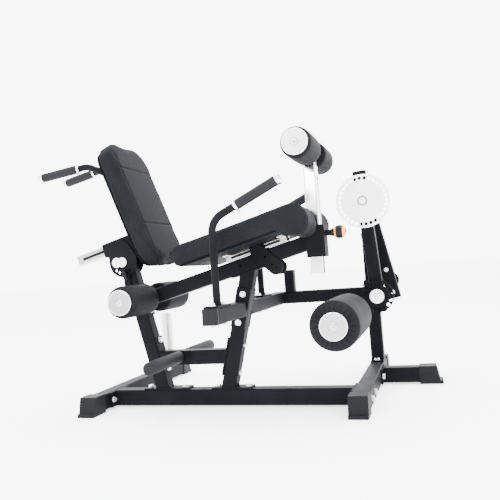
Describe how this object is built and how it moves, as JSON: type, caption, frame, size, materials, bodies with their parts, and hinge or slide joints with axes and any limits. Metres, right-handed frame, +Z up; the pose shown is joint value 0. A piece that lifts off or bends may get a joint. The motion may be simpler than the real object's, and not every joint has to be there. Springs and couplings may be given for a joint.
{
  "type": "leg extension machine",
  "caption": "Plate-loaded seated leg extension machine with reclining back, sliding seat, foam rollers and an angle-set leg lever.",
  "frame": {"origin": "centre of the footprint box on the floor", "axes": "+X towards the user's feet, +Y to the side that carries the weight plates, +Z up"},
  "size_m": [1.4588, 1.18, 1.0277],
  "materials": {
    "frame_steel": "fine-texture black powder coat",
    "chrome": "polished",
    "roller_core": "satin chrome",
    "disc_steel": "satin plate",
    "foot_rubber": "moulded",
    "roller_foam": "soft vinyl over foam",
    "grip_foam": "matte foam",
    "upholstery": "grained vinyl",
    "black_plastic": "moulded",
    "bronze": "sintered",
    "fastener_steel": "black zinc"
  },
  "bodies": {
    "frame": {"rear_base_tube": "frame_steel", "front_base_tube": "frame_steel", "base_rail": "frame_steel", "front_foot_tube": "frame_steel", "foot_caps": "foot_rubber", "rear_upright": "frame_steel", "seat_upright": "frame_steel", "front_upright": "frame_steel", "lower_crossbar": "frame_steel", "seat_rail": "frame_steel", "handle_bar_near": "frame_steel", "handle_bar_far": "frame_steel", "front_crossbar": "frame_steel", "side_handles": "frame_steel", "side_grips": "grip_foam", "frame_end_caps": "black_plastic", "seat_slide_sleeve": "frame_steel", "peg_tube": "frame_steel", "peg_foams": "roller_foam", "rear_axle": "frame_steel", "plate_storage_post": "chrome", "post_liner": "black_plastic", "pivot_bushes": "bronze", "arm_stop": "foot_rubber", "frame_bolts": "fastener_steel"},
    "recliner": {"recline_bracket": "frame_steel"},
    "recline_lock": {"recline_pin": "black_plastic"},
    "backrest": {"back_slide_tube": "chrome", "back_board": "black_plastic", "back_pad": "upholstery", "rear_handles": "frame_steel", "rear_grips": "grip_foam"},
    "seat": {"seat_slide_tube": "chrome", "seat_board": "black_plastic", "seat_pad": "upholstery"},
    "rear_roller_near": {"rear_roller_near_foam": "roller_foam", "rear_roller_near_core": "roller_core"},
    "rear_roller_far": {"rear_roller_far_foam": "roller_foam", "rear_roller_far_core": "roller_core"},
    "thigh_support": {"thigh_post": "chrome"},
    "thigh_roller_near": {"thigh_roller_near_foam": "roller_foam", "thigh_roller_near_core": "roller_core"},
    "thigh_roller_far": {"thigh_roller_far_foam": "roller_foam", "thigh_roller_far_core": "roller_core"},
    "post_lock": {"post_pin": "black_plastic"},
    "lever": {"index_disc": "disc_steel", "pivot_shaft": "chrome", "weight_arm": "frame_steel", "weight_horn": "chrome", "horn_bumper": "foot_rubber", "arm_bolts": "fastener_steel"},
    "leg_lever": {"leg_arm": "frame_steel", "leg_arm_bushes": "bronze", "ankle_hub_bolt": "chrome"},
    "start_lock": {"index_pin": "black_plastic"},
    "ankle_swing": {"ankle_crank": "frame_steel", "ankle_disc": "frame_steel"},
    "ankle_lock": {"ankle_pin": "black_plastic"},
    "ankle_roller": {"ankle_foam": "roller_foam", "ankle_core": "roller_core"}
  },
  "joints": [
    {"name": "back_recline", "type": "hinge", "parent": "frame", "child": "recliner", "pos_m": [-0.42463, -0.26, 0.564], "axis": [0, -1, 0], "range_deg": [0, 64.5]},
    {"name": "recline_pin_pull", "type": "slide", "parent": "frame", "child": "recline_lock", "axis": [0, -1, 0], "range_m": [0, 0.012], "stiffness_N_per_m": 400, "springref_m": -0.01},
    {"name": "back_slide", "type": "slide", "parent": "recliner", "child": "backrest", "axis": [0.9686, 0, 0.2487], "range_m": [-0.02, 0.06]},
    {"name": "seat_slide", "type": "slide", "parent": "frame", "child": "seat", "axis": [0.9686, 0, 0.2487], "range_m": [-0.06, 0]},
    {"name": "rear_roller_near_spin", "type": "hinge", "parent": "frame", "child": "rear_roller_near", "pos_m": [-0.32563, -0.4, 0.417], "axis": [0, 1, 0], "continuous": true},
    {"name": "rear_roller_far_spin", "type": "hinge", "parent": "frame", "child": "rear_roller_far", "pos_m": [-0.32563, -0.12, 0.417], "axis": [0, 1, 0], "continuous": true},
    {"name": "thigh_height", "type": "slide", "parent": "frame", "child": "thigh_support", "axis": [0, 0, 1], "range_m": [-0.06, 0.08]},
    {"name": "thigh_roller_near_spin", "type": "hinge", "parent": "thigh_support", "child": "thigh_roller_near", "pos_m": [0.33737, -0.39, 0.9], "axis": [0, 1, 0], "continuous": true},
    {"name": "thigh_roller_far_spin", "type": "hinge", "parent": "thigh_support", "child": "thigh_roller_far", "pos_m": [0.33737, -0.133, 0.9], "axis": [0, 1, 0], "continuous": true},
    {"name": "post_pin_pull", "type": "slide", "parent": "frame", "child": "post_lock", "axis": [1, 0, 0], "range_m": [0, 0.012], "stiffness_N_per_m": 400, "springref_m": -0.01},
    {"name": "leg_extension", "type": "hinge", "parent": "frame", "child": "lever", "pos_m": [0.46537, 0.277, 0.75], "axis": [0, -1, 0], "range_deg": [0, 100]},
    {"name": "start_angle", "type": "hinge", "parent": "lever", "child": "leg_lever", "pos_m": [0.46537, 0.203, 0.75], "axis": [0, -1, 0], "range_deg": [-24, 48]},
    {"name": "index_pin_pull", "type": "slide", "parent": "leg_lever", "child": "start_lock", "axis": [0, 1, 0], "range_m": [0, 0.012], "stiffness_N_per_m": 400, "springref_m": -0.01},
    {"name": "ankle_angle", "type": "hinge", "parent": "leg_lever", "child": "ankle_swing", "pos_m": [0.49337, 0.163, 0.348], "axis": [0, 1, 0], "range_deg": [-45, 45]},
    {"name": "ankle_pin_pull", "type": "slide", "parent": "leg_lever", "child": "ankle_lock", "axis": [0, 1, 0], "range_m": [0, 0.01], "stiffness_N_per_m": 400, "springref_m": -0.01},
    {"name": "ankle_roller_spin", "type": "hinge", "parent": "ankle_swing", "child": "ankle_roller", "pos_m": [0.41237, -0.26, 0.299], "axis": [0, 1, 0], "continuous": true}
  ]
}
